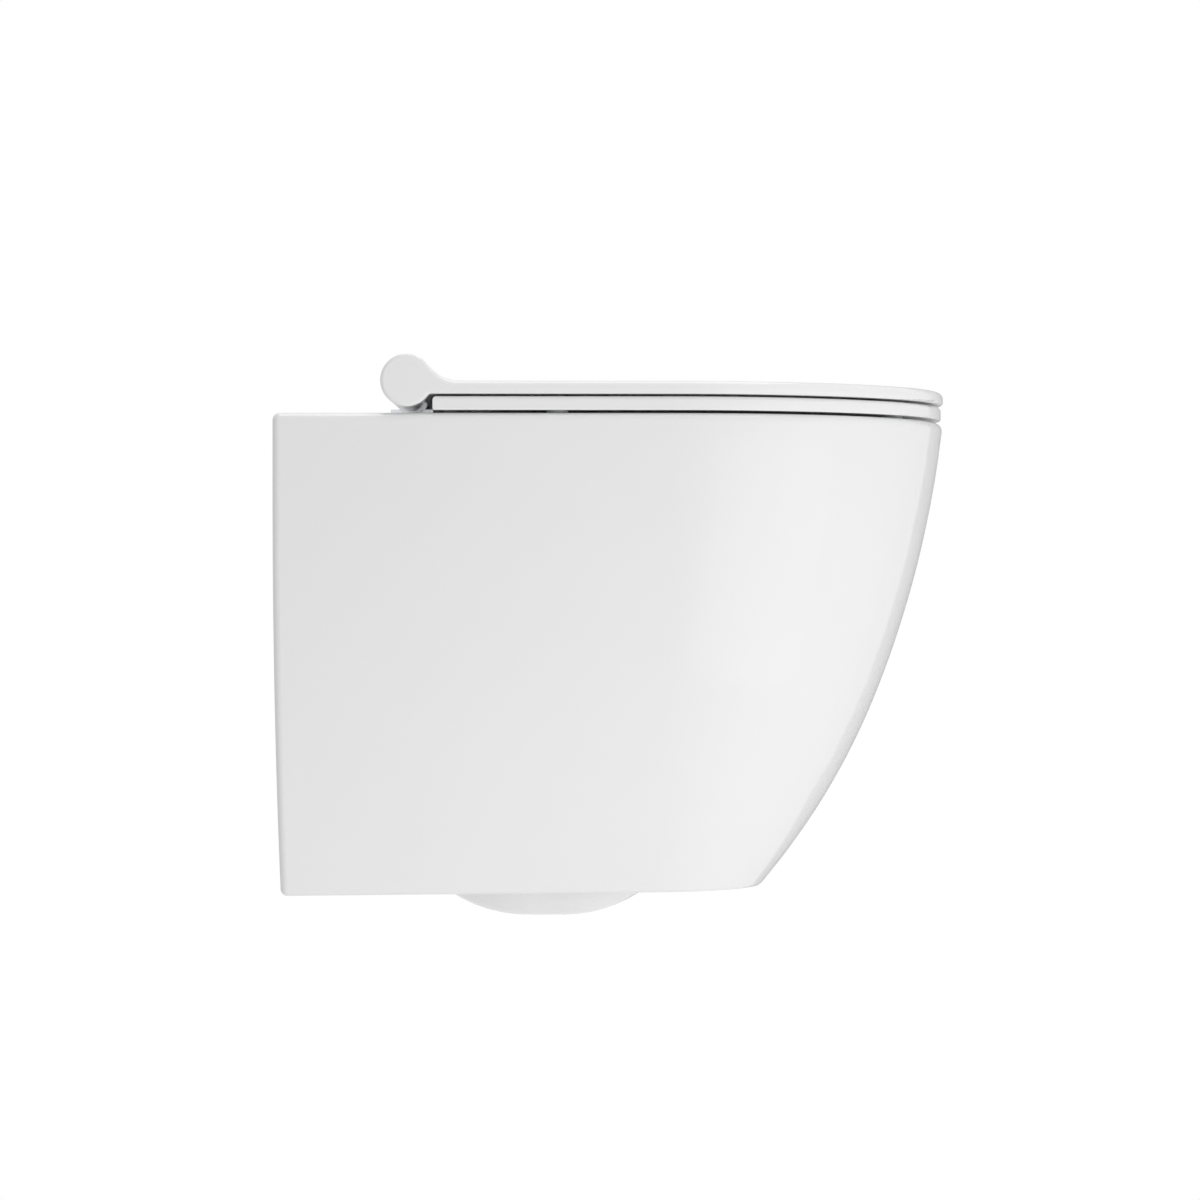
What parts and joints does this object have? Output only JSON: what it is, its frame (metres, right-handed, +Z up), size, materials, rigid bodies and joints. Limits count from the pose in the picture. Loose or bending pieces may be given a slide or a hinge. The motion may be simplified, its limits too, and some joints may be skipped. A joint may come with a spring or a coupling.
{
  "type": "wall hung toilet",
  "caption": "Shrouded wall hung toilet pan with rimless bowl and trap, and a soft-close seat ring and lid on a round hinge roll.",
  "frame": {"origin": "midway between the two wall fixing holes, in the plane of the wall face", "axes": "+Z up, +Y into the wall, the pan reaches towards -Y, X sideways; the object is symmetric about X = 0"},
  "size_m": [0.36, 0.4991, 0.4194],
  "materials": {
    "glazed_ceramic": "glossy white glaze",
    "seat_plastic": "pressed urea plastic, polished",
    "chromed_zinc": "polished chrome on cast zinc",
    "chromed_steel": "polished chrome on pressed steel",
    "bright_steel": "zinc plated",
    "damper_plastic": "grey moulded acetal",
    "rotor_plastic": "moulded natural acetal",
    "nylon": "moulded natural nylon",
    "clear_rubber": "soft clear elastomer",
    "white_rubber": "soft white elastomer",
    "black_rubber": "moulded rubber"
  },
  "bodies": {
    "pan": {"ceramic_pan": "glazed_ceramic", "hinge_post_right": "chromed_zinc", "hinge_post_left": "chromed_zinc", "hinge_pin_right": "bright_steel", "hinge_pin_left": "bright_steel", "post_grub_screws": "bright_steel", "lid_damper_rotor": "rotor_plastic", "ring_damper_rotor": "rotor_plastic", "hinge_rosette_right": "chromed_steel", "hinge_rosette_left": "chromed_steel", "hinge_gaskets": "clear_rubber", "hinge_stud_right": "bright_steel", "hinge_stud_left": "bright_steel", "stud_cones": "black_rubber", "stud_washers": "bright_steel", "wing_nuts": "nylon", "wall_bushes": "nylon", "wall_washers": "bright_steel", "wall_nuts": "bright_steel"},
    "ring": {"seat_ring": "seat_plastic", "ring_damper_housing": "damper_plastic", "ring_pivot_bush": "nylon", "ring_buffers": "white_rubber"},
    "lid": {"seat_lid": "seat_plastic", "lid_damper_housing": "damper_plastic", "lid_pivot_bush": "nylon", "lid_buffers": "white_rubber"}
  },
  "joints": [
    {"name": "ring_hinge", "type": "hinge", "parent": "pan", "child": "ring", "pos_m": [0, -0.0966, 0.1084], "axis": [-1, 0, 0], "range_deg": [0, 95]},
    {"name": "lid_hinge", "type": "hinge", "parent": "ring", "child": "lid", "pos_m": [0, -0.0966, 0.1084], "axis": [-1, 0, 0], "range_deg": [0, 95]}
  ]
}
